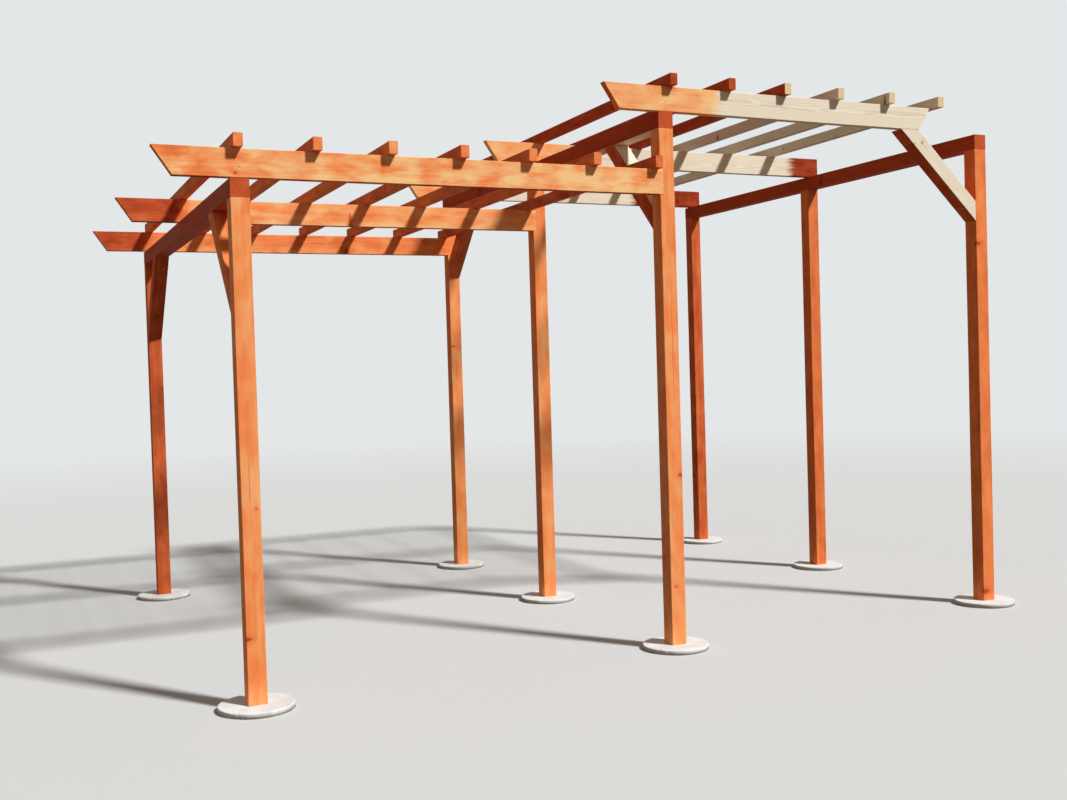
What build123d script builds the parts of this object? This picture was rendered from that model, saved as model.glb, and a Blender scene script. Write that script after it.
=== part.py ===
from build123d import *
from math import acos, atan2, cos, hypot, sin
import os

# A wooden garden pergola in millimetres: a lower roof on the left and a higher one on the right.
# X runs to the right along the long beams, Y runs from the front to the rear and Z is up.
# The origin lies on the ground below the middle of the front left post.

# Timber sections
post_side = 100
header_side = 100
beam_thickness = 50
beam_height = 150
rafter_width = 50
rafter_height = 70
brace_side = 100

# Places of the posts, as distances between their left and front faces
left_span = 2530
right_span = 2495
front_span = 1815
rear_span = 1790

# Heights: the low posts from the top of the concrete pads, and the step from roof to roof
low_post_height = 2605
roof_step = 495

# Overhangs and ends
beam_overhang = 380
upper_beam_overhang = 360
end_slant = 100
rafter_overhang = 50
housing_depth = 25

# Rafters, spread evenly between the first and the last of each roof
low_rafter_count = 7
low_first_inset = 15
low_last_gap = 5
upper_rafter_count = 6
upper_first_inset = 60
upper_last_gap = 315

# Braces: their reach from the corner that they stiffen, and the gap along its base
# between the tip of the short front beam and the post that its brace stands on
brace_reach = 590
short_beam_gap = 490

# Concrete pads
pad_diameter = 400
pad_height = 30
pad_rim = 4

# Softened long edges of the planed timbers
edge_ease = 3

# Worked out from the sizes above
left_x = -post_side / 2
middle_x = left_x + left_span
right_x = middle_x + right_span
front_y = -post_side / 2
centre_y = front_y + front_span
rear_y = centre_y + rear_span
rows = {"front": front_y, "centre": centre_y, "rear": rear_y}

low_post_top = pad_height + low_post_height
tall_post_top = low_post_top + roof_step
low_beam_base = low_post_top + header_side
low_beam_top = low_beam_base + beam_height
upper_beam_base = tall_post_top + header_side
upper_beam_top = upper_beam_base + beam_height
header_length = rear_y + post_side - front_y
rafter_length = rear_y + beam_thickness - front_y + 2 * rafter_overhang
rafter_front = front_y - rafter_overhang
right_face = right_x + post_side
brace_cut = brace_side * 2**0.5
brace_inset = (post_side - brace_side) / 2

# The brace of the short beam climbs from its post to the beam's tip. The line from the
# bottom of its foot to that tip is its diagonal, which gives its angle with its depth.
short_beam_tip = right_x - short_beam_gap
corner_distance = hypot(brace_reach, short_beam_gap)
beam_brace_angle = acos(brace_side / corner_distance) - atan2(short_beam_gap, brace_reach)
beam_brace_foot_cut = brace_side / cos(beam_brace_angle)
beam_brace_head_cut = brace_side / sin(beam_brace_angle)


def save(piece, name):
    """Label one finished piece and write its file."""
    piece.label = name
    export_step(piece, f"parts/{name}.step")


def make_post(name, x, y, top, housed):
    """A square post on its pad; a housed one is cut for the end of a lower beam."""
    with BuildPart() as post:
        with BuildSketch(Plane.XY.offset(pad_height)):
            with Locations((x + post_side / 2, y + post_side / 2)):
                Rectangle(post_side, post_side)
        extrude(amount=top - pad_height)
        chamfer(post.edges().filter_by(Axis.Z), edge_ease)
        if housed:
            with Locations((x, y, low_beam_base)):
                Box(
                    housing_depth,
                    beam_thickness,
                    beam_height,
                    align=(Align.MIN, Align.MIN, Align.MIN),
                    mode=Mode.SUBTRACT,
                )
    save(post.part, name)


def make_pad(name, x, y):
    """A round concrete footing under one post, a little dished at its rim."""
    with BuildPart() as pad:
        with BuildSketch(Plane.XY):
            with Locations((x + post_side / 2, y + post_side / 2)):
                Circle(pad_diameter / 2)
        extrude(amount=pad_height)
        chamfer(pad.edges().filter_by(GeomType.CIRCLE).sort_by(Axis.Z)[-1], pad_rim)
    save(pad.part, name)


def make_header(name, x, base):
    """A square timber from front to rear over the posts of one line."""
    with BuildPart() as header:
        with BuildSketch(Plane.XZ.offset(-front_y)):
            with Locations((x + header_side / 2, base + header_side / 2)):
                Rectangle(header_side, header_side)
        extrude(amount=-header_length)
        chamfer(header.edges().filter_by(Axis.Y), edge_ease)
    save(header.part, name)


def make_beam(name, outline, y):
    """A long beam on edge, from its side outline, with its front face at y."""
    with BuildPart() as beam:
        with BuildSketch(Plane.XZ.offset(-y)):
            with BuildLine():
                Polyline(*outline, close=True)
            make_face()
        extrude(amount=-beam_thickness)
        chamfer(beam.edges().filter_by(Axis.X), edge_ease)
    save(beam.part, name)


def make_rafter(name, x, base):
    """A light rafter laid across the beams from front to rear."""
    with BuildPart() as rafter:
        with BuildSketch(Plane.XZ.offset(-rafter_front)):
            with Locations((x + rafter_width / 2, base + rafter_height / 2)):
                Rectangle(rafter_width, rafter_height)
        extrude(amount=-rafter_length)
        chamfer(rafter.edges().filter_by(Axis.Y), edge_ease)
    save(rafter.part, name)


def spread_rafters(prefix, first_x, last_x, count, base):
    """A row of evenly spread rafters, with the left face of the first and the last given."""
    pitch = (last_x - first_x) / (count - 1)
    for number in range(count):
        make_rafter(f"{prefix}_{number + 1}", first_x + number * pitch, base)


def make_brace(name, x, face_y, direction, top):
    """A mitred brace in a line of posts, from a post's face up to its header."""
    foot = (face_y, top - brace_reach)
    heel = (face_y, top - brace_reach + brace_cut)
    near = (face_y + direction * (brace_reach - brace_cut), top)
    far = (face_y + direction * brace_reach, top)
    with BuildPart() as brace:
        with BuildSketch(Plane.YZ.offset(x + brace_inset)):
            with BuildLine():
                Polyline(foot, heel, near, far, close=True)
            make_face()
        extrude(amount=brace_side)
    save(brace.part, name)


os.makedirs("parts", exist_ok=True)

# Posts and pads: eight of each, as the left line has no post in its middle
for row in ("front", "rear"):
    make_post(f"post_left_{row}", left_x, rows[row], low_post_top, False)
    make_pad(f"pad_left_{row}", left_x, rows[row])
for row, y in rows.items():
    make_post(f"post_middle_{row}", middle_x, y, tall_post_top, True)
    make_pad(f"pad_middle_{row}", middle_x, y)
    make_post(f"post_right_{row}", right_x, y, tall_post_top, False)
    make_pad(f"pad_right_{row}", right_x, y)

# Headers over the three lines of posts
make_header("header_left", left_x, low_post_top)
make_header("header_middle", middle_x, tall_post_top)
make_header("header_right", right_x, tall_post_top)

# Lower beams: slanted at the left, let into the tall posts at the right
for row, y in rows.items():
    lower_outline = [
        (left_x - beam_overhang, low_beam_top),
        (left_x - beam_overhang + end_slant, low_beam_base),
        (middle_x + housing_depth, low_beam_base),
        (middle_x + housing_depth, low_beam_top),
    ]
    make_beam(f"lower_beam_{row}", lower_outline, y)

# Upper beams: two end over the right posts, the front one stops short on its brace
for row, y in rows.items():
    top_end = right_face
    base_end = right_face
    if row == "front":
        top_end = short_beam_tip + end_slant
        base_end = short_beam_tip
    upper_outline = [
        (middle_x - upper_beam_overhang, upper_beam_top),
        (middle_x - upper_beam_overhang + end_slant, upper_beam_base),
        (base_end, upper_beam_base),
        (top_end, upper_beam_top),
    ]
    make_beam(f"upper_beam_{row}", upper_outline, y)

# Rafters of the two roofs
low_first = left_x + low_first_inset
low_last = middle_x - low_last_gap - rafter_width
spread_rafters("lower_rafter", low_first, low_last, low_rafter_count, low_beam_top)
upper_first = middle_x + upper_first_inset
upper_last = right_x - upper_last_gap - rafter_width
spread_rafters("upper_rafter", upper_first, upper_last, upper_rafter_count, upper_beam_top)

# Braces in the lines of posts
front_back_face = front_y + post_side
make_brace("brace_left_front", left_x, front_back_face, 1, low_post_top)
make_brace("brace_left_rear", left_x, rear_y, -1, low_post_top)
make_brace("brace_middle_front", middle_x, front_back_face, 1, tall_post_top)
make_brace("brace_middle_rear", middle_x, rear_y, -1, tall_post_top)

# Brace under the short end of the front upper beam, flush with its face and its tip
with BuildPart() as beam_brace:
    with BuildSketch(Plane.XZ.offset(-front_y)):
        with BuildLine():
            Polyline(
                (right_x, upper_beam_base - brace_reach),
                (short_beam_tip - beam_brace_head_cut, upper_beam_base),
                (short_beam_tip, upper_beam_base),
                (right_x, upper_beam_base - brace_reach + beam_brace_foot_cut),
                close=True,
            )
        make_face()
    extrude(amount=-brace_side)
save(beam_brace.part, "brace_right_front")
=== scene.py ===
# %% [markdown]
# # A garden pergola in stained pine
#
# Two slatted roofs stand on eight square posts. The lower roof is finished in an orange-red stain, and the
# upper one is still half bare, as if the brush had been put down in the middle of the work.
# The construction comes ready made as a fixed frame. What is left is the look of the timber: softened
# edges, drying cracks, grain that runs along each piece, knots, thirsty end grain, screws and cast footings.

import bpy
import numpy as np
from mathutils import Matrix, Vector


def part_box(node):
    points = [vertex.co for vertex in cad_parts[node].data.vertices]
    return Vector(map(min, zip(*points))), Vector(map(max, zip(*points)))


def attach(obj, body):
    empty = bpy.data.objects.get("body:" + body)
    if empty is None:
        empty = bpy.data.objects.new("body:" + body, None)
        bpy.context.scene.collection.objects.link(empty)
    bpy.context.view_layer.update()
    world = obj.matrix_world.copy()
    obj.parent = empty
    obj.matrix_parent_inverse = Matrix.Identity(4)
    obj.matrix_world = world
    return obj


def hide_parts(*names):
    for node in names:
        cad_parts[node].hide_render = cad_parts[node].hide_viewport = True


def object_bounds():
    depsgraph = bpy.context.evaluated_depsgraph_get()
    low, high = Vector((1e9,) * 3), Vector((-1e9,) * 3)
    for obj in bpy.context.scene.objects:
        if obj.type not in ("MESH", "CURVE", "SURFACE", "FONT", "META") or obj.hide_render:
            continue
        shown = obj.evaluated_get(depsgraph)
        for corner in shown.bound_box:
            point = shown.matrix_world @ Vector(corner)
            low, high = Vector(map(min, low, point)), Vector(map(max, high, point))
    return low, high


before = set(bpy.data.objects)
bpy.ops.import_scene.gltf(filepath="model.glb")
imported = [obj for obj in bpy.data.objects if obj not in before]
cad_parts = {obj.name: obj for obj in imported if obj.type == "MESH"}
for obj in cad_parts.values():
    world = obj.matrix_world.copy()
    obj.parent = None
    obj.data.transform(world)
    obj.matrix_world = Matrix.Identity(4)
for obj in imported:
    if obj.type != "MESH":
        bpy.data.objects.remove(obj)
cad_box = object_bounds()
bpy.context.scene.view_settings.view_transform = "Standard"
print("nodes", len(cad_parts), "box", [[round(v, 3) for v in corner] for corner in cad_box])

# %% [markdown]
# ## The camera
#
# A camera can be placed by eye, by matching a few lines, or by solving for it from many measured points.
# The last way was used: the place, the three angles and the focal length below put the corners of the
# timbers within a few pixels of where the photograph has them. The focal length is in pixels of an image
# 1067 pixels wide, so it is turned into a lens length for a sensor 36 mm wide.

# %% Camera
image_width = 1067
focal_pixels = 1184.5
sensor_width = 36.0
camera_place = Vector((-1.189, -6.166, 1.706))
yaw, pitch, roll = np.radians((24.576, -1.407, -1.730))

forward = Vector((np.sin(yaw) * np.cos(pitch), np.cos(yaw) * np.cos(pitch), np.sin(pitch)))
level = Vector((np.cos(yaw), -np.sin(yaw), 0.0))
right = level * np.cos(roll) + level.cross(forward) * np.sin(roll)
up = right.cross(forward)

lens = bpy.data.cameras.new("view")
lens.sensor_width = sensor_width
lens.lens = focal_pixels / image_width * sensor_width
camera = bpy.data.objects.new("view", lens)
turn = Matrix((right, up, -forward)).transposed().to_4x4()
camera.matrix_world = Matrix.Translation(camera_place) @ turn
bpy.context.scene.collection.objects.link(camera)
bpy.context.scene.camera = camera
print("lens", round(lens.lens, 2), "mm")

# %% [markdown]
# ## A few small helpers
#
# Colours are written as the hex values that a paint chart would give, and Blender mixes light in linear
# values, so one function turns the first into the second. Materials are made of nodes, and one function
# adds a node of any kind, sets its own settings and fills or links its inputs. Five more name the nodes that
# come back all the time: a number from other numbers, a soft step, noise, a mix of two colours and a stretch.

# %% Helpers for colours and nodes
def linear(hex_colour):
    """Each channel c in 0 to 1 becomes c / 12.92 below 0.04045, and ((c + 0.055) / 1.055) to the power 2.4 above."""
    c = np.array([int(hex_colour[i : i + 2], 16) for i in (1, 3, 5)]) / 255
    return (*np.where(c > 0.04045, ((c + 0.055) / 1.055) ** 2.4, c / 12.92), 1.0)


def add(tree, kind, inputs, **settings):
    """A new node with its settings, and its inputs given by name or number as a value or as another output."""
    made = tree.nodes.new("ShaderNode" + kind)
    for name, value in settings.items():
        setattr(made, name, value)
    for socket, value in inputs.items():
        if isinstance(value, bpy.types.NodeSocket):
            tree.links.new(value, made.inputs[socket])
        else:
            made.inputs[socket].default_value = value
    return made


def number(tree, operation, *values, **settings):
    """The result of one Math operation on up to three values."""
    return add(tree, "Math", dict(enumerate(values)), operation=operation, **settings).outputs[0]


def soft_step(tree, value, start, stop):
    """0 before the start, 1 past the stop, and t * t * (3 - 2 * t) at the share t of the way between them."""
    return add(tree, "MapRange", {0: value, 1: start, 2: stop}, interpolation_type="SMOOTHSTEP").outputs[0]


def noise(tree, place, detail, scale=1.0, **more):
    """A node of noise about 0.5 whose waves are one over the scale long."""
    return add(tree, "TexNoise", {"Vector": place, "Scale": scale, "Detail": detail, **more})


def mixed(tree, share, first, second):
    """The colour first * (1 - share) + second * share."""
    return add(tree, "Mix", {0: share, 6: first, 7: second}, data_type="RGBA").outputs[2]


def stretched(tree, place, factors):
    """A place with each of its three distances multiplied by a factor of its own."""
    return add(tree, "VectorMath", {0: place, 1: factors}, operation="MULTIPLY").outputs[0]


def blank_material(name):
    """A new material under a name, and its node tree, still empty."""
    material = bpy.data.materials.new(name)
    material.use_nodes = True
    material.node_tree.nodes.clear()
    return material, material.node_tree


# %% [markdown]
# ## Light, floor and backdrop
#
# The object stands in clear spring sun from the front right, which lights the front faces and leaves the left
# ones in shade. A sun lamp with a wide disc gives that direction with soft-edged shadows, and a dim sky fills
# the rest. An area lamp would fall off over five metres of roof, and a sun lamp doesn't.
# The backdrop is pale only where a ray from the camera or a mirror-like ray meets it, so its brightness
# never lights the timber. The floor fades into it, so there is no horizon line.

# %% Light
sun_direction = Vector((0.56, -0.83, 1.0))
sun_data = bpy.data.lights.new("soft sun", "SUN")
sun_data.energy = 3.75
sun_data.angle = np.radians(6)
sun = bpy.data.objects.new("soft sun", sun_data)
sun.rotation_euler = sun_direction.to_track_quat("Z", "Y").to_euler()
bpy.context.scene.collection.objects.link(sun)

sky_light = 0.21
sky_colour = linear("#FFF1E3")
backdrop = linear("#E4E7E8")
world = bpy.data.worlds.new("pale sky")
world.use_nodes = True
bpy.context.scene.world = world
sky = world.node_tree
sky.nodes.clear()


def seen_share(tree):
    """1 for a ray that shows the surface itself, straight or in a reflection, and 0 for a ray that carries light."""
    ray = add(tree, "LightPath", {}).outputs
    mirrored = number(tree, "ADD", ray["Is Glossy Ray"], ray["Is Transmission Ray"])
    return number(tree, "ADD", mirrored, ray["Is Camera Ray"], use_clamp=True)


lit = add(sky, "Background", {"Color": sky_colour, "Strength": sky_light})
seen = add(sky, "Background", {"Color": backdrop, "Strength": 1.0})
either = add(sky, "MixShader", {0: seen_share(sky), 1: lit.outputs[0], 2: seen.outputs[0]})
add(sky, "OutputWorld", {"Surface": either.outputs[0]})
print("sun", sun_data.energy, "sky", sky_light)

# %% Floor
floor_reach = 60.0
clear_radius, fade_radius = 7.0, 24.0
middle = (Vector(cad_box[0]) + Vector(cad_box[1])) / 2
quarters = ((-1, -1), (1, -1), (1, 1), (-1, 1))
corners = [(middle.x + floor_reach * i, middle.y + floor_reach * j, 0.0) for i, j in quarters]
floor_mesh = bpy.data.meshes.new("floor")
floor_mesh.from_pydata(corners, [], [(0, 1, 2, 3)])
floor = bpy.data.objects.new("floor", floor_mesh)
bpy.context.scene.collection.objects.link(floor)

floor_material, tree = blank_material("pale matt floor paint")
place = add(tree, "TexCoord", {}).outputs["Object"]
from_middle = add(tree, "VectorMath", {0: place, 1: (middle.x, middle.y, 0.0)}, operation="DISTANCE")
fade = soft_step(tree, from_middle.outputs["Value"], clear_radius, fade_radius)
floor_seen = seen_share(tree)
# The floor gives back less light to the timber than it shows, so the undersides stay in shade.
paint = mixed(tree, floor_seen, linear("#6E665C"), linear("#D6D8D8"))
matt = add(tree, "BsdfDiffuse", {"Color": paint})
far = add(tree, "Emission", {"Color": backdrop, "Strength": 1.0})
far_share = number(tree, "MULTIPLY", fade, floor_seen)
floor_look = add(tree, "MixShader", {0: far_share, 1: matt.outputs[0], 2: far.outputs[0]})
add(tree, "OutputMaterial", {"Surface": floor_look.outputs[0]})
floor_mesh.materials.append(floor_material)
print("floor", 2 * floor_reach, "m wide")

# %% [markdown]
# ## The shape of a planed timber
#
# A timber is a rectangle carried along a line, and where it stops it is sawn through by a plane: square on a
# post, slanted on a beam's free end, mitred on a brace. A box with a bevel could do for the square ones, but
# one formula covers them all and leaves room for what makes wood look like wood. Its long edges are rounded
# by a plane that never takes off quite the same, its sawn ends have a fine eased edge, and here and there
# a drying crack opens in the middle of a face and closes again.

# %% Shape of one timber
edge_radius = 0.0032
end_ease = 0.0008
skin = 0.0003
station_step = 0.04
crack_half_width = 0.0009
crack_depth = 0.004
crack_share = 0.4  # of the faces have a crack
crack_wander = 0.12  # of half the face, to either side of its middle
radius_swing = 0.25
edge_columns = 4


def sawn_at(plane, origin, axes, across, upward):
    """Distance along the timber at which each line of its surface meets a plane given by point and normal:
    the offset from the line to the point, taken along the normal, over the run's own share of that normal."""
    point, normal = (np.array(v, float) for v in plane)
    run, side, rise = axes
    return ((point - origin) @ normal - across * (side @ normal) - upward * (rise @ normal)) / (run @ normal)


def timber_surface(origin, axes, width, height, start_cuts, end_cuts, seed):
    """Points of a timber on a grid of stations along it by columns round its section. A column lies on a
    face, at half the width or height from the middle line, or on a quarter circle of the edge's radius.
    The radius breathes along the length as 1 + swing * sin of the distance. A crack is five columns whose
    middle one sinks by the depth times a bump sin squared between its two ends."""
    rng = np.random.default_rng(seed)
    nothing = np.zeros(1)
    first = max(sawn_at(cut, origin, axes, nothing, nothing)[0] for cut in start_cuts)
    last = min(sawn_at(cut, origin, axes, nothing, nothing)[0] for cut in end_cuts)
    length = last - first
    inner = np.linspace(end_ease, length - end_ease, max(3, int(length / station_step)))
    along = np.concatenate(([0.0], inner, [length]))[:, None]
    eased = np.where((along <= 0.0) | (along >= length), end_ease, 0.0) + skin
    radius = edge_radius * (1 + radius_swing * np.sin(along * rng.uniform(2, 5) + rng.uniform(0, 6)))
    quarter = np.linspace(0, np.pi / 2, edge_columns)
    steps = np.array([-1.0, -0.45, 0.0, 0.45, 1.0])
    sink = np.array([0.0, 0.4, 1.0, 0.4, 0.0])
    across, upward = [], []
    for side in range(4):
        face = side * np.pi / 2
        half_out, half_along_face = (width / 2, height / 2) if side % 2 == 0 else (height / 2, width / 2)
        centre, span = rng.uniform(0.2, 0.8) * length, rng.uniform(0.06, 0.18) * length
        opening = np.clip(1 - np.abs(along - centre) / span, 0, 1) * (rng.random() < crack_share)
        opening = np.sin(opening * np.pi / 2) ** 2
        wander = crack_wander * half_along_face * np.sin(along * rng.uniform(1, 3) + rng.uniform(0, 6))
        out = half_out - eased - crack_depth * opening * sink
        shift = wander + crack_half_width * (0.3 + opening) * steps
        across.append(out * np.cos(face) - shift * np.sin(face))
        upward.append(out * np.sin(face) + shift * np.cos(face))
        corner_out, corner_along = half_out - eased - radius, half_along_face - eased - radius
        out = corner_out + radius * np.cos(quarter)
        shift = corner_along + radius * np.sin(quarter)
        across.append(out * np.cos(face) - shift * np.sin(face))
        upward.append(out * np.sin(face) + shift * np.cos(face))
    across, upward = np.concatenate(across, 1), np.concatenate(upward, 1)
    start = np.max([sawn_at(cut, origin, axes, across, upward) for cut in start_cuts], axis=0)
    end = np.min([sawn_at(cut, origin, axes, across, upward) for cut in end_cuts], axis=0)
    share = along / length
    run = start * (1 - share) + end * share
    run_axis, side_axis, rise_axis = axes
    return origin + run[..., None] * run_axis + across[..., None] * side_axis + upward[..., None] * rise_axis


def closed_tube(points, name):
    """A mesh of the grid's quads, closed round the section and capped at both ends. The edges' quarter
    circles are smooth, and the faces are flat as planed."""
    stations, columns = points.shape[:2]
    vertex = np.arange(stations * columns).reshape(stations, columns)
    nearer, further = vertex[:-1], vertex[1:]
    quads = np.stack((nearer, np.roll(nearer, -1, 1), np.roll(further, -1, 1), further), -1).reshape(-1, 4)
    caps = [vertex[0, ::-1].tolist(), vertex[-1].tolist()]
    mesh = bpy.data.meshes.new(name)
    mesh.from_pydata(points.reshape(-1, 3).tolist(), [], quads.tolist() + caps)
    side = columns // 4
    place = np.arange(columns) % side
    rounded = (side - edge_columns <= place) & (place < side - 1)
    smooth = np.concatenate((np.tile(rounded, stations - 1), (False, False)))
    mesh.polygons.foreach_set("use_smooth", smooth)
    mesh.update()
    return mesh


# %% [markdown]
# ## What a timber's mesh tells its material
#
# Grain belongs to the tree, not to the room, so each timber carries its own coordinates: how far along the
# log a point lies, and where it lies from the pith, the log's middle. A material that reads them cuts
# through the same rings on the faces and on the sawn ends. Five more values say how far the brush has come past a
# point, how heavy the coat is there and how much that swings from patch to patch, where the end grain lies open, and
# how much darker the stain lies in that end grain. The coat's heaviness also holds painted shade on the headers'
# sides and the beams' undersides. Where the end value is below zero, the sawn end is drawn lighter than its faces,
# which is painted light.

# %% Wood coordinates and coats
covered, bare = 0.5, -0.5


def store(mesh, name, kind, values):
    """One value a vertex, kept in the mesh under a name."""
    layer = mesh.attributes.new(name, kind, "POINT")
    key = "vector" if kind == "FLOAT_VECTOR" else "value"
    layer.data.foreach_set(key, np.ascontiguousarray(values, np.float32).ravel())


def vertex_places(mesh):
    """The places of all vertices as one array."""
    places = np.empty(len(mesh.vertices) * 3, np.float32)
    mesh.vertices.foreach_get("co", places)
    return places.reshape(-1, 3).astype(float)


def describe_wood(mesh, origin, axes, size, cuts, seed, coat, tone, patch, thirst):
    """Log coordinates are the point's own three distances along, across and upward, moved by a random stretch of log
    and by the place of the pith, which was sawn away just outside one side. A point is end grain within half the
    eased edge of a cut. Above zero, the end value is how much heavier the stain lies there. Below zero, it draws the
    end lighter than the faces beside it, which is painted light."""
    rng = np.random.default_rng(seed + 1000)
    places = vertex_places(mesh)
    local = (places - origin) @ np.array(axes).T
    width, height = size
    pith = np.array([rng.choice((-1, 1)) * (width / 2 + rng.uniform(0.0, 0.04)), rng.uniform(-0.4, 0.4) * height])
    stretch = rng.uniform(0, 40)
    log = local + np.array([stretch, -pith[0], -pith[1]])
    distance = [np.abs((places - np.array(p, float)) @ np.array(n, float)) / np.linalg.norm(n) for p, n in cuts]
    end = np.min(distance, axis=0) < end_ease / 2
    store(mesh, "log", "FLOAT_VECTOR", log)
    store(mesh, "end", "FLOAT", end)
    store(mesh, "thirst", "FLOAT", end * thirst)
    store(mesh, "coat", "FLOAT", coat(places) if coat else np.full(len(places), covered))
    store(mesh, "tone", "FLOAT", tone(places) if callable(tone) else np.full(len(places), tone))
    store(mesh, "patch", "FLOAT", np.full(len(places), patch))


# %% [markdown]
# ## Pine under a thin stain
#
# Pine is a softwood with wide rings: pale early wood and a thin, harder, darker line of late wood. It is
# planed smooth, so its face shows flames where the cut runs along a ring and straight lines where it runs
# across. Branches leave knots that widen outwards from the pith. A translucent stain colours it from a pale
# yellow-orange, where it was wiped thin, to a deep red-brown, where it lies heavy: on knots, in late wood,
# in the end grain that drinks it, and in the long patches that a loaded brush leaves. So the material
# first works out how heavy the coat lies and then looks that up in one row of colours. An image of wood would
# repeat and break at the ends, so the log is worked out in space: rings are distances from the pith, bent
# a little by noise and round the knots. Where the brush never came, the same wood shows bare.

# %% Pine
ring_width = 0.0050  # rings are 2 to 4 mm apart on the real timber; drawn at 5 mm so that they show
ring_bend = 0.030
whorl_spacing = 0.62
knots_round = 3.0
knot_squash, knot_girth, knot_push, least_knot = 0.8, 0.13, 0.012, 0.0008
patch_length, patch_height = 0.17, 0.075
brush_tuft = 0.022
finger_length = 0.14
mean_of_layers = 0.16  # what the strokes and the other layers add to a timber's tone on average
bare_roughness, stained_roughness = 0.78, 0.68
stain_steps = ((0.0, "#FFCE8F"), (0.3, "#FD9153"), (0.65, "#C8562F"), (1.0, "#7B2815"))


def pine_material(name, stained):
    """Planed pine, dry and open where it is bare; where it is stained, a thin soft skin as far as the brush came."""
    material, tree = blank_material(name)

    def told(key, socket="Fac"):
        """What the timber's mesh says under a name."""
        return add(tree, "Attribute", {}, attribute_name=key).outputs[socket]

    log, end = told("log", "Vector"), told("end")
    along = add(tree, "SeparateXYZ", {0: log}).outputs["X"]

    # Rings: the log is bent by slow noise, and the distance from its pith is measured after that.
    bend = noise(tree, stretched(tree, log, (1.3, 7.0, 7.0)), 2.0).outputs[1]
    bend = add(tree, "VectorMath", {0: bend, 1: (0.5, 0.5, 0.5)}, operation="SUBTRACT").outputs[0]
    bent = {0: bend, 1: (0.0, ring_bend, ring_bend), 2: log}
    bent = add(tree, "VectorMath", bent, operation="MULTIPLY_ADD").outputs[0]
    bent = add(tree, "SeparateXYZ", {0: bent}).outputs
    flat = add(tree, "CombineXYZ", {1: bent[1], 2: bent[2]}).outputs[0]
    from_pith = add(tree, "VectorMath", {0: flat}, operation="LENGTH").outputs["Value"]
    round_pith = number(tree, "ARCTAN2", bent[2], bent[1])

    # Knots: one branch a cell of distance along the log by angle round it, each a cone that widens outwards.
    cell_x = number(tree, "DIVIDE", along, whorl_spacing)
    cell_a = number(tree, "MULTIPLY", round_pith, knots_round / (2 * np.pi))
    cell = add(tree, "CombineXYZ", {0: cell_x, 1: cell_a}).outputs[0]
    branch = add(tree, "TexVoronoi", {"Vector": cell, "Scale": 1.0}, voronoi_dimensions="2D").outputs
    gap = add(tree, "VectorMath", {0: cell, 1: branch["Position"]}, operation="SUBTRACT").outputs[0]
    gap = add(tree, "SeparateXYZ", {0: gap}).outputs
    gap_x = number(tree, "MULTIPLY", gap[0], whorl_spacing * knot_squash)
    gap_a = number(tree, "MULTIPLY", gap[1], 2 * np.pi / knots_round)
    gap_a = number(tree, "MULTIPLY", gap_a, from_pith)
    reach = add(tree, "CombineXYZ", {0: gap_x, 1: gap_a}).outputs[0]
    reach = add(tree, "VectorMath", {0: reach}, operation="LENGTH").outputs["Value"]
    luck = add(tree, "SeparateXYZ", {0: branch["Color"]}).outputs[0]
    girth = add(tree, "MapRange", {0: luck, 1: 0.45, 2: 1.0, 3: 0.0, 4: knot_girth}).outputs[0]
    knot_radius = number(tree, "MULTIPLY_ADD", from_pith, girth, least_knot)
    knot_share = number(tree, "DIVIDE", reach, knot_radius)
    knot = soft_step(tree, knot_share, 1.25, 0.75)
    halo = soft_step(tree, knot_share, 4.5, 0.9)

    # The rings swing round a knot, so the halo pushes them outwards.
    pushed = number(tree, "MULTIPLY_ADD", halo, knot_push, from_pith)
    ring = number(tree, "FRACT", number(tree, "DIVIDE", pushed, ring_width))
    fall = add(tree, "MapRange", {0: ring, 1: 1.0, 2: 0.92}).outputs[0]
    late = number(tree, "MULTIPLY", soft_step(tree, ring, 0.25, 0.9), fall)

    # Fibres: noise drawn out along the log, half a millimetre wide.
    fibre = noise(tree, stretched(tree, log, (7.0, 420.0, 420.0)), 2.0).outputs[0]
    slow_cloud = noise(tree, stretched(tree, log, (1.6, 5.0, 5.0)), 1.0).outputs[0]

    # Bare wood: cream, with tan late wood, knots and dry end grain.
    colour = mixed(tree, slow_cloud, linear("#F9F1E0"), linear("#F6EAD3"))
    tints = ((late, 0.42, "#DDB885"), (halo, 0.35, "#DDB682"), (knot, 1.0, "#B98551"), (end, 0.8, "#EBCB92"))
    for layer, strength, tint in tints:
        colour = mixed(tree, number(tree, "MULTIPLY", layer, strength), colour, linear(tint))
    rough = bare_roughness

    if stained:
        # Heaviness of the coat: the timber's own tone, patches as long as a hand, strokes as wide as a tuft of the
        # brush, and the wood's own thirst in late wood, knots and end grain. The tone also carries painted shade on
        # the headers' sides and the beams' undersides, and a negative end value paints light on the sawn ends.
        spread = stretched(tree, log, (1 / patch_length, 1 / patch_height, 1 / patch_height))
        cloud = noise(tree, spread, 3.0, Roughness=0.5, Distortion=0.3).outputs[0]
        swing = add(tree, "MapRange", {0: cloud, 1: 0.30, 2: 0.70, 3: -0.5, 4: 0.5}).outputs[0]
        stroke = noise(tree, stretched(tree, log, (0.9, 1 / brush_tuft, 1 / brush_tuft)), 2.0).outputs[0]
        heavy = number(tree, "MULTIPLY_ADD", swing, told("patch"), told("tone"))
        layers = ((stroke, 0.16), (slow_cloud, 0.12), (late, 0.07), (halo, 0.10), (knot, 0.30), (told("thirst"), 1.0))
        for layer, share in layers:
            heavy = number(tree, "MULTIPLY_ADD", layer, share, heavy)
        row = add(tree, "ValToRGB", {0: number(tree, "SUBTRACT", heavy, mean_of_layers)})
        steps = row.color_ramp.elements
        while len(steps) < len(stain_steps):
            steps.new(0.5)
        for step, (heaviness, shade) in zip(steps, stain_steps):
            step.position, step.color = heaviness, linear(shade)

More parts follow.
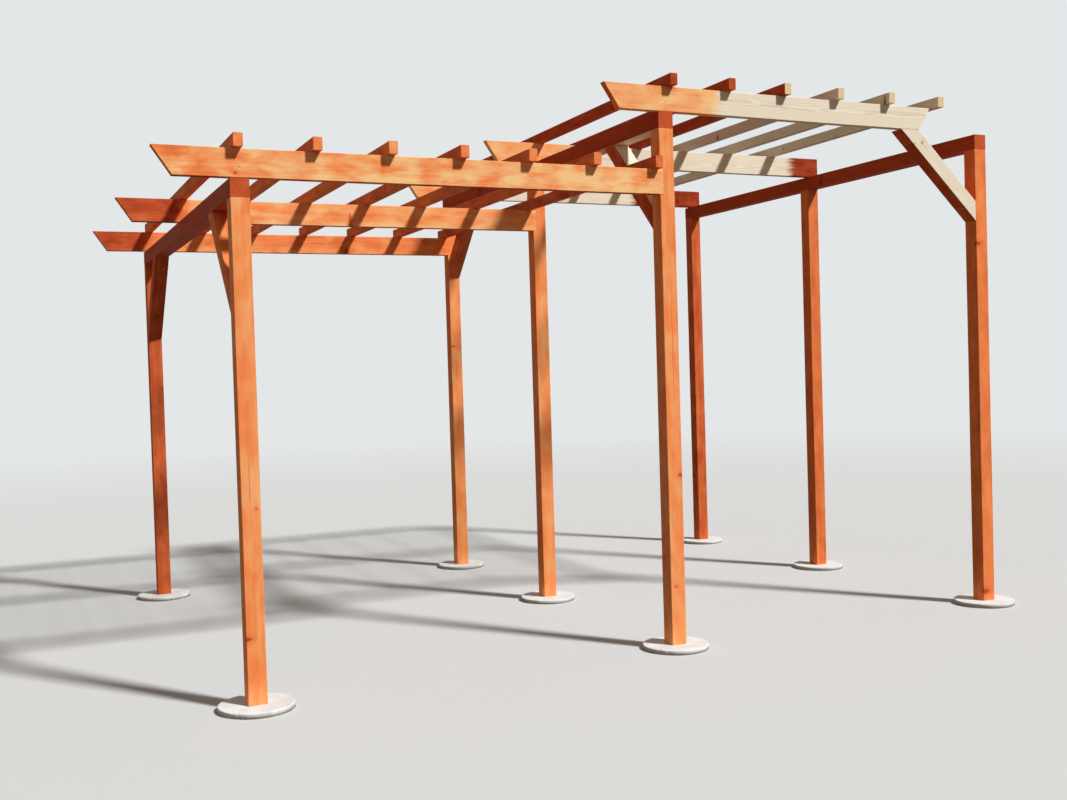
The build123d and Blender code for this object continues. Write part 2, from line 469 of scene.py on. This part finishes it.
        # The brush leaves short fingers along the grain: the stored distance to the border, bent by
        # drawn-out noise of a few centimetres.
        ragged = noise(tree, stretched(tree, log, (6.0, 60.0, 60.0)), 3.0).outputs[0]
        edge = number(tree, "MULTIPLY_ADD", ragged, finger_length, told("coat"))
        cover = soft_step(tree, edge, 0.02, 0.12)
        colour = mixed(tree, cover, colour, row.outputs[0])
        rough = add(tree, "MapRange", {0: cover, 3: bare_roughness, 4: stained_roughness}).outputs[0]
    streak = add(tree, "MapRange", {0: fibre, 1: 0.25, 2: 0.75, 3: 0.92, 4: 1.05}).outputs[0]
    colour = add(tree, "VectorMath", {0: colour, "Scale": streak}, operation="SCALE").outputs[0]

    # Late wood stands a hair proud of the early wood, and the fibres give the face its tooth.
    relief = number(tree, "MULTIPLY_ADD", late, 0.6, fibre)
    bump = add(tree, "Bump", {"Strength": 0.35, "Distance": 0.0006, "Height": relief}).outputs[0]
    wood = {"Base Color": colour, "Roughness": rough, "IOR": 1.5, "Specular IOR Level": 0.04, "Normal": bump}
    skin_shader = add(tree, "BsdfPrincipled", wood)
    add(tree, "OutputMaterial", {"Surface": skin_shader.outputs[0]})
    return material


finishes = {
    "stained_pine": pine_material("planed pine under orange-red stain", True),
    "part_stained_pine": pine_material("planed pine stained in part", True),
    "bare_pine": pine_material("bare planed pine", False),
}
print("pine finishes", len(finishes))

# %% [markdown]
# ## Making a timber from its node
#
# The frame gives every timber's box. For a square timber the box is all that is needed: the longest side is
# its run, and the other two are its section. The new surface replaces the plain solid and takes its finish
# from the record's slot, so the same list says which timbers are stained, half stained or bare.

# %% Timbers from the frame
x_axis, y_axis, z_axis = np.eye(3)
axes_by_run = ((x_axis, y_axis, z_axis), (y_axis, z_axis, x_axis), (z_axis, x_axis, y_axis))
slot_of = {name: node.data.materials[0].name for name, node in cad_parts.items()}
timbers = []
print("slots", sorted(set(slot_of.values())))


def show(name, mesh, material, stands_for=None):
    """Put a finished mesh into the scene as a piece of the object."""
    piece = bpy.data.objects.new(name, mesh)
    bpy.context.scene.collection.objects.link(piece)
    mesh.materials.clear()
    mesh.materials.append(material)
    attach(piece, "root")
    if stands_for:
        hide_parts(stands_for)
    return piece


def box_of(node):
    """Lowest and highest corner of a node as arrays."""
    return [np.array(corner, float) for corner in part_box(node)]


def add_timber(node, origin, axes, size, starts, ends, coat=None, tone=0.3, patch=0.2, thirst=0.1, housing=None):
    """Shape, describe and finish one timber, and let it stand for its node."""
    seed = len(timbers) + 1
    mesh = closed_tube(timber_surface(origin, axes, *size, starts, ends, seed), node + "_timber")
    if housing is not None:
        mesh = cut_housing(mesh, *housing)
    describe_wood(mesh, origin, axes, size, starts + ends, seed, coat, tone, patch, thirst)
    timbers.append(show(node + "_timber", mesh, finishes[slot_of[node]], node))


def straight_timber(node, starts=None, ends=None, **finish):
    """A timber along its box's longest side, sawn square where no other cut is given."""
    low, high = box_of(node)
    run = int(np.argmax(high - low))
    axes = axes_by_run[run]
    size = [(high - low) @ axes[1], (high - low) @ axes[2]]
    starts = starts or [(low, axes[0])]
    ends = ends or [(high, axes[0])]
    add_timber(node, (low + high) / 2, axes, size, starts, ends, **finish)


def cut_housing(mesh, low, high):
    """The mesh without the box between two corners, as a sharp chisel leaves it."""
    corner = np.array([(x, y, z) for x in (0, 1) for y in (0, 1) for z in (0, 1)])
    sides = [(0, 1, 3, 2), (4, 6, 7, 5), (0, 4, 5, 1), (2, 3, 7, 6), (0, 2, 6, 4), (1, 5, 7, 3)]
    block_mesh = bpy.data.meshes.new("housing")
    block_mesh.from_pydata((low + corner * (high - low)).tolist(), [], sides)
    block = bpy.data.objects.new("housing", block_mesh)
    timber = bpy.data.objects.new("uncut", mesh)
    for made in (block, timber):
        bpy.context.scene.collection.objects.link(made)
    cut = timber.modifiers.new("housing", "BOOLEAN")
    cut.operation, cut.solver, cut.object = "DIFFERENCE", "EXACT", block
    bpy.context.view_layer.update()
    finished = bpy.data.meshes.new_from_object(timber.evaluated_get(bpy.context.evaluated_depsgraph_get()))
    finished.name = mesh.name
    for made in (block, timber):
        bpy.data.objects.remove(made)
    return finished


# %% [markdown]
# ## Posts and headers
#
# Square posts carry headers that run from front to rear. Where a lower beam meets a tall post, a housing as
# deep as half the beam is thick is chiselled out of the post's corner, and the beam's end sits in it.
# The housing is cut out of the finished surface with a Boolean, a hair larger than the beam, so that a fine dark line
# shows round the joint. The headers have a heavier coat than the posts, and their sides are drawn darker still than
# their sawn ends, which is painted shade on the sides. The middle one is bare underneath.

# %% Posts
joint_gap = 0.0004
rows = ("front", "centre", "rear")
post_tone = 0.24
# Four posts are drawn with a darker, redder tone than the others.
darker_posts = {"post_left_rear": 0.58, "post_right_rear": 0.55, "post_right_centre": 0.45, "post_right_front": 0.36}

for column, post_rows in (("left", ("front", "rear")), ("middle", rows), ("right", rows)):
    for row in post_rows:
        node = f"post_{column}_{row}"
        housing = None
        if column == "middle":
            low, high = box_of("lower_beam_" + row)
            housing = (np.array([low[0], low[1] - joint_gap, low[2] - joint_gap]), high + joint_gap)
        straight_timber(node, tone=darker_posts.get(node, post_tone), patch=0.17, housing=housing)

# %% Headers
def coat_above(places):
    """The underside of the middle header was never reached by the brush; its ends were."""
    low, high = box_of("header_middle")
    under = places[:, 2] < low[2] + edge_radius / 2
    end = (places[:, 1] < low[1] + end_ease / 2) | (places[:, 1] > high[1] - end_ease / 2)
    return np.where(under & ~end, bare, covered)


for column in ("left", "middle", "right"):
    coat = coat_above if column == "middle" else None
    # The headers' tone darkens all their faces, and their ends are brought back lighter. The ends show the heavy
    # coat; the extra darkness of the sides is painted shade.
    straight_timber("header_" + column, coat=coat, tone=0.74, patch=0.08, thirst=-0.12)
print("posts and headers", len(timbers))

# %% [markdown]
# ## Beams
#
# The beams stand on edge, and their free ends are sawn on a slant, longer at the top. Each slant is one
# plane through the top corner and a point 100 mm further in at the bottom. The upper beams are where the
# brush stopped: stained at the left end, bare in the middle, and two of them stained again towards the right
# header. The coat of each is the distance to those borders, which the material then frays along the grain.

# %% Beams
end_slant = 0.100


def slanted_end(tip_top, height, outward):
    """A plane through the tip's top edge that comes in by the slant over the timber's height."""
    return (tip_top, np.array([height, 0.0, -outward * end_slant]))


def coat_of_beam(left_low, left_high, right_from, low, high):
    """Distance in metres to the nearer border of the coat, positive in the coat. The left border leans."""

    def coat(places):
        rise = (places[:, 2] - low[2]) / (high[2] - low[2])
        return np.maximum(left_low + (left_high - left_low) * rise - places[:, 0], places[:, 0] - right_from)

    return coat


# How heavy the coat of each lower beam is, how much it swings, and how much heavier it is past the left header.
lower_coats = {"front": (0.15, 0.46, 0.10), "centre": (0.19, 0.30, 0.46), "rear": (0.32, 0.26, 0.34)}
header_face, header_blend = 0.05, 0.12
# The last of these numbers darkens the beams' undersides: painted shade under them.
wiped_height, wiped_less, painted_under_shade = 0.05, 0.11, 0.5
for row, (tone, patch, end_more) in lower_coats.items():
    node = "lower_beam_" + row
    low, high = box_of(node)
    slant = slanted_end(np.array([low[0], low[1], high[2]]), high[2] - low[2], -1)

    def lower_tone(places, tone=tone, end_more=end_more, base=low[2]):
        """Heavier past the header, darker on the underside, which is painted shade, and wiped thin along the foot of
        the faces.
        """
        past_header = np.clip((header_face - places[:, 0]) / header_blend, 0, 1)
        wiped_foot = np.clip(1 - (places[:, 2] - base) / wiped_height, 0, 1)
        under = places[:, 2] < base + edge_radius / 2
        return tone + end_more * past_header - wiped_less * wiped_foot + painted_under_shade * under

    straight_timber(node, starts=[slant], tone=lower_tone, patch=patch)

# Where each upper beam's left coat ends along x at the bottom and at the top, and where its right coat begins.
never = 99.0
upper_coats = {"front": (2.89, 2.92, never), "centre": (2.85, 3.04, 4.80), "rear": (2.80, 2.98, 4.34)}
right_end_from, right_tone = 4.0, 0.85
left_tone, wiped_reach, wiped_out = 0.15, 0.20, 0.13
for row in rows:
    node = "upper_beam_" + row
    low, high = box_of(node)
    height = high[2] - low[2]
    slant = slanted_end(np.array([low[0], low[1], high[2]]), height, -1)
    short = [slanted_end(np.array([high[0], low[1], high[2]]), height, 1)] if row == "front" else None
    distance_to_coat = coat_of_beam(*upper_coats[row], low, high)

    def upper_coat(places, row=row, slant=slant, reach=distance_to_coat):
        """The slanted left ends of the two rear beams were sawn after the brush had passed, so they are bare."""
        normal = slant[1] / np.linalg.norm(slant[1])
        sawn = (np.abs((places - slant[0]) @ normal) < end_ease / 2) & (row != "front")
        return np.where(sawn, bare, reach(places))

    def upper_tone(places, reach=distance_to_coat):
        """Wiped out thin over the last stretch before the border, and heavy where the right end was done."""
        wiped = np.clip(1 - reach(places) / wiped_reach, 0, 1)
        return np.where(places[:, 0] > right_end_from, right_tone, left_tone - wiped_out * wiped)

    straight_timber(node, starts=[slant], ends=short, coat=upper_coat, tone=upper_tone, patch=0.25, thirst=0.3)
print("with beams", len(timbers))

# %% [markdown]
# ## Rafters and braces
#
# The rafters lie across the beams with their ends left square. The braces stand at 45 degrees, and the one
# under the short beam a little flatter, so their ends are mitred: upright against the post, level under the
# header or beam. Both cuts are planes again, the post's face and the header's underside, and the surface
# between them is the same as a post's. Two braces still have one bare side.

# %% Rafters
rafter_tones = (0.42, 0.36, 0.36, 0.42, 0.40, 0.44, 0.55)
for count, tone in enumerate(rafter_tones, 1):
    # A negative end value draws the rafters' sawn ends lighter than their faces: painted light.
    straight_timber(f"lower_rafter_{count}", tone=tone, patch=0.25, thirst=-0.08)


def coat_behind(places):
    """The front end of the third upper rafter was left bare when its sides were stained."""
    front_face = box_of("upper_rafter_3")[0][1]
    return np.where(places[:, 1] < front_face + end_ease / 2, bare, covered)


for count in range(1, 7):
    coat = coat_behind if count == 3 else None
    straight_timber(f"upper_rafter_{count}", coat=coat, tone=0.68, patch=0.2, thirst=0.05)

# %% Braces
brace_depth = 0.100
screw_inset, screw_aside = 0.075, 0.017
brace_screws = []


def brace(node, foot, along_header, bare_side=None, **finish):
    """A brace along the diagonal of its box, which is the line of its lower face: from the post's face at
    the bottom to the header's underside. Its middle line lies half its depth inside that face, so it meets
    the post higher by half the depth over the share of the run that goes along the header. The foot is at
    the low or high end of the box. A bare side is the upper face or the front face, left without stain."""
    low, high = box_of(node)
    towards = 1.0 if foot == "low" else -1.0
    level_axis = np.eye(3)[along_header] * towards
    post_face = low if foot == "low" else high
    reach, rise = (high - low)[along_header], (high - low)[2]
    level_share, rise_share = np.array((reach, rise)) / np.hypot(reach, rise)
    start = (low + high) / 2
    start[along_header] = post_face[along_header]
    start[2] = low[2] + brace_depth / 2 / level_share
    run = level_share * level_axis + rise_share * z_axis
    side = np.eye(3)[0 if along_header == 1 else 1]
    axes = (run, side, np.cross(run, side))
    size = [(high - low) @ side, brace_depth]
    outward = rise_share * level_axis - level_share * z_axis
    length = (high[2] - start[2]) / rise_share
    for along in (screw_inset, length - screw_inset):
        for across in (-screw_aside, screw_aside):
            middle = start + along * run + across * side
            brace_screws.append((middle + (brace_depth / 2 - skin) * outward, outward))
    if bare_side:
        normal, half = (-outward, brace_depth / 2) if bare_side == "upper" else (-y_axis, size[0] / 2)
        finish["coat"] = lambda places: np.where((places - start) @ normal > half - edge_radius / 2, bare, covered)
    add_timber(node, start, axes, size, [(post_face, level_axis)], [(high, z_axis)], **finish)


brace("brace_left_front", "low", 1, tone=0.38)
brace("brace_middle_front", "low", 1, bare_side="upper", tone=0.62)
for column, tone in (("left", 0.60), ("middle", 0.45)):
    brace(f"brace_{column}_rear", "high", 1, tone=tone)
brace("brace_right_front", "high", 0, bare_side="front", tone=0.62)
print("timbers", len(timbers))

# %% [markdown]
# ## Footings
#
# Each post stands on a round cast footing that barely rises above the ground. It was poured into a tube
# and struck off by hand, so the rim is not quite round, its edge has crumbled here and there, and the top
# dips and rises by about a millimetre. A lathe would give a perfect disc; a surface of radius and angle
# with a few slow waves gives a poured one.

# %% Shape of a footing
spokes = 120
rim_round = 0.005
rim_waves = 0.0035
rim_bites = 7
footing_skin = 0.0002
dip = 0.0004


def footing_surface(low, high, seed):
    """Rings of a disc: the first ring is the foot of the rim, the next ones climb it and turn over its edge on a
    quarter circle, and the others go in to the middle. The radius loses waves of the angle and small bites,
    a bite being a bump exp(-(angle/width)^2); the top loses up to a millimetre by sines of both."""
    rng = np.random.default_rng(seed)
    angle = np.linspace(0, 2 * np.pi, spokes + 1)[:-1]
    radius = (high[0] - low[0]) / 2
    wave = sum(rng.uniform(0.2, 1) / n * np.sin(n * angle + rng.uniform(0, 6)) for n in (2, 3, 5, 8, 13, 21))
    loss = rim_waves * (wave.max() - wave) / np.ptp(wave) * 0.5
    bite = np.zeros_like(angle)
    for _ in range(rim_bites):
        away = (angle - rng.uniform(0, 2 * np.pi) + np.pi) % (2 * np.pi) - np.pi
        bite += rng.uniform(0.3, 1.0) * np.exp(-((away / rng.uniform(0.02, 0.07)) ** 2))
    turn = np.linspace(0, np.pi / 2, 6)
    inner = np.linspace(0.965, 0.0, 26)
    outer_radius = radius - skin - loss - rim_waves * np.clip(bite, 0, 1)
    round_edge = rim_round * (1 + np.clip(bite, 0, 1))
    top = high[2] - footing_skin
    rim_radius = [outer_radius - round_edge * (1 - np.cos(t)) for t in turn]
    rim_height = [top - round_edge * (1 - np.sin(t)) for t in turn]
    flat_radius = [rim_radius[-1] * share for share in inner[:-1]]
    flat_height = [np.full_like(angle, top)] * len(flat_radius)
    r = np.array([outer_radius, *rim_radius, *flat_radius])
    z = np.array([np.full_like(angle, low[2] + footing_skin), *rim_height, *flat_height])
    x, y = r * np.cos(angle), r * np.sin(angle)
    dips = sum(np.sin(x * rng.uniform(-40, 40) + y * rng.uniform(-40, 40) + rng.uniform(0, 6)) for _ in range(6))
    z[2:] -= dip * np.clip(1.5 + dips[2:] * 0.5, 0, 3)
    middle = (low + high) / 2
    return np.stack((x + middle[0], y + middle[1], z), -1)


def closed_disc(points, name):
    """The rings joined by quads, closed by a fan of triangles to the middle and by one face underneath."""
    rings = len(points)
    vertex = np.arange(rings * spokes).reshape(rings, spokes)
    outer, inner = vertex[:-1], vertex[1:]
    quads = np.stack((outer, np.roll(outer, -1, 1), np.roll(inner, -1, 1), inner), -1).reshape(-1, 4).tolist()
    centre = points[-1].mean(0)
    fan = np.stack((vertex[-1], np.roll(vertex[-1], -1), np.full(spokes, rings * spokes)), -1).tolist()
    foot = [vertex[0, ::-1].tolist()]
    mesh = bpy.data.meshes.new(name)
    mesh.from_pydata(points.reshape(-1, 3).tolist() + [centre.tolist()], [], quads + fan + foot)
    mesh.polygons.foreach_set("use_smooth", np.concatenate((np.ones(len(quads) + len(fan), bool), [False])))
    mesh.update()
    return mesh


# %% [markdown]
# ## Cast concrete
#
# Concrete struck off by hand is a pale grey, cloudy at the size of a hand, with sand grains in its skin and small air
# holes. It has no gleam. All of it comes from noise on the object's own coordinates: slow noise for the clouds, fine
# noise for the sand, and a Voronoi pattern with most cells left out for the holes. The holes are drawn a darker grey,
# which is painted shade inside them.

# %% Concrete
concrete, tree = blank_material("struck-off cast concrete")
place = add(tree, "TexCoord", {}).outputs["Object"]
clouds = noise(tree, place, 4.0, scale=9.0, Roughness=0.6).outputs[0]
sand = noise(tree, place, 2.0, scale=420.0).outputs[0]
cells = add(tree, "TexVoronoi", {"Vector": place, "Scale": 90.0}).outputs
chosen = add(tree, "SeparateXYZ", {0: cells["Color"]}).outputs[0]
few = number(tree, "GREATER_THAN", chosen, 0.72)
hole = number(tree, "MULTIPLY", soft_step(tree, cells["Distance"], 0.24, 0.12), few)
cloudy = add(tree, "MapRange", {0: clouds, 1: 0.35, 2: 0.65}).outputs[0]
colour = mixed(tree, cloudy, linear("#F2F3F2"), linear("#DFDFDC"))
grain = add(tree, "MapRange", {0: sand, 1: 0.3, 2: 0.7, 3: 0.90, 4: 1.06}).outputs[0]
colour = add(tree, "VectorMath", {0: colour, "Scale": grain}, operation="SCALE").outputs[0]
# The holes are drawn darker grey: painted shade inside them.
colour = mixed(tree, hole, colour, linear("#8C8982"))
height = number(tree, "MULTIPLY_ADD", hole, -1.5, sand)
bump = add(tree, "Bump", {"Strength": 0.6, "Distance": 0.001, "Height": height}).outputs[0]
rough_stone = add(tree, "BsdfPrincipled", {"Base Color": colour, "Roughness": 0.9, "Normal": bump})
add(tree, "OutputMaterial", {"Surface": rough_stone.outputs[0]})

# %% Footings in place
first_footing_seed = 300
for count, node in enumerate(sorted(name for name in slot_of if name.startswith("pad_"))):
    mesh = closed_disc(footing_surface(*box_of(node), first_footing_seed + count), node + "_footing")
    show(node + "_footing", mesh, concrete, node)
print("footings", count + 1)

# %% [markdown]
# ## Screws
#
# Every rafter is screwed down through its top into each beam below, each beam has one screw driven aslant
# into its header from either face, and each brace has two at either end. Only the heads show: flat
# countersunk heads of yellow zinc-plated steel 9 mm across, with a star-shaped recess for the driver. A head
# is five rings of twelve points, so all 74 of them stay light, and all of one kind are one mesh.

# %% Shape of the screw heads
head_radius = 0.0045
head_rise = skin
ring_shape = np.array([[1.0, 0.0], [1.0, 0.6], [0.9, 1.0], [0.42, 1.0], [0.36, 0.35]])
ring_points = 12
star_ring, recess_ring = 3, 4  # the first ring of the star and the ring at the bottom of the recess
star_waist = 0.78


def screw_heads(name, centres, normals):
    """Rings of points round each centre. Each ring has a share of the head's radius and of its rise;
    the two rings of the recess alternate between two radii, which makes a six-pointed star. The first ring
    is closed by a face underneath and the last one by the floor of the recess."""
    centres, normals = np.array(centres, float), np.array(normals, float)
    helper = np.where(np.abs(normals[:, 2:]) > 0.9, x_axis, z_axis)
    first = np.cross(helper, normals)
    first /= np.linalg.norm(first, axis=1, keepdims=True)
    second = np.cross(normals, first)
    spoke = np.arange(ring_points)
    angle = spoke * 2 * np.pi / ring_points
    star = np.where(spoke % 2, star_waist, 1.0)
    rings = np.arange(len(ring_shape))
    radius = head_radius * ring_shape[:, 0][:, None] * np.where(rings[:, None] >= star_ring, star, 1.0)
    height = ring_shape[:, 1][:, None] * head_rise * np.ones(ring_points)
    points = centres[:, None, None]
    for distance, direction in ((radius * np.cos(angle), first), (radius * np.sin(angle), second), (height, normals)):
        points = points + distance[None, ..., None] * direction[:, None, None]
    vertex = np.arange(points[..., 0].size).reshape(points.shape[:3])
    outer, inner = vertex[:, :-1], vertex[:, 1:]
    quads = np.stack((outer, np.roll(outer, -1, 2), np.roll(inner, -1, 2), inner), -1).reshape(-1, 4)
    mesh = bpy.data.meshes.new(name)
    caps = vertex[:, 0, ::-1].tolist() + vertex[:, -1].tolist()
    mesh.from_pydata(points.reshape(-1, 3).tolist(), [], quads.tolist() + caps)
    store(mesh, "recess", "FLOAT", np.broadcast_to(rings[None, :, None] == recess_ring, vertex.shape))
    mesh.update()
    return mesh


# %% Screw steel
# Yellow zinc plating gone dull: a soft brownish gleam, and the recess drawn nearly black, which is painted shade
# inside it.
screw_steel, tree = blank_material("yellow zinc-plated steel")
recess = add(tree, "Attribute", {}, attribute_name="recess").outputs["Fac"]
gleam = mixed(tree, recess, linear("#A5834C"), linear("#2B2015"))
plated = add(tree, "BsdfPrincipled", {"Base Color": gleam, "Metallic": 1.0, "Roughness": 0.45})
add(tree, "OutputMaterial", {"Surface": plated.outputs[0]})

# %% Screw places
screw_height = 0.055
rafter_screws, beam_screws = [], []
for roof, rafters in (("lower", 7), ("upper", 6)):
    for row in rows:
        beam_low, beam_high = box_of(f"{roof}_beam_{row}")
        for count in range(1, rafters + 1):
            low, high = box_of(f"{roof}_rafter_{count}")
            crossing = (low[0] + high[0]) / 2
            if beam_low[0] < crossing < beam_high[0]:
                top = np.array([crossing, (beam_low[1] + beam_high[1]) / 2, high[2] - skin])
                rafter_screws.append((top, z_axis))
        for column in ("left", "middle", "right"):
            header_low, header_high = box_of("header_" + column)
            if abs(header_high[2] - beam_low[2]) > skin or not beam_low[0] < header_low[0] < beam_high[0]:
                continue  # this header doesn't carry this beam
            for face, outward in ((beam_low[1] + skin, -y_axis), (beam_high[1] - skin, y_axis)):
                crossing = (header_low[0] + header_high[0]) / 2
                beam_screws.append((np.array([crossing, face, beam_low[2] + screw_height]), outward))

for name, places in (("rafter_screws", rafter_screws), ("beam_screws", beam_screws), ("brace_screws", brace_screws)):
    centres, normals = zip(*places)
    show(name, screw_heads(name, centres, normals), screw_steel)
    print(name, len(places))
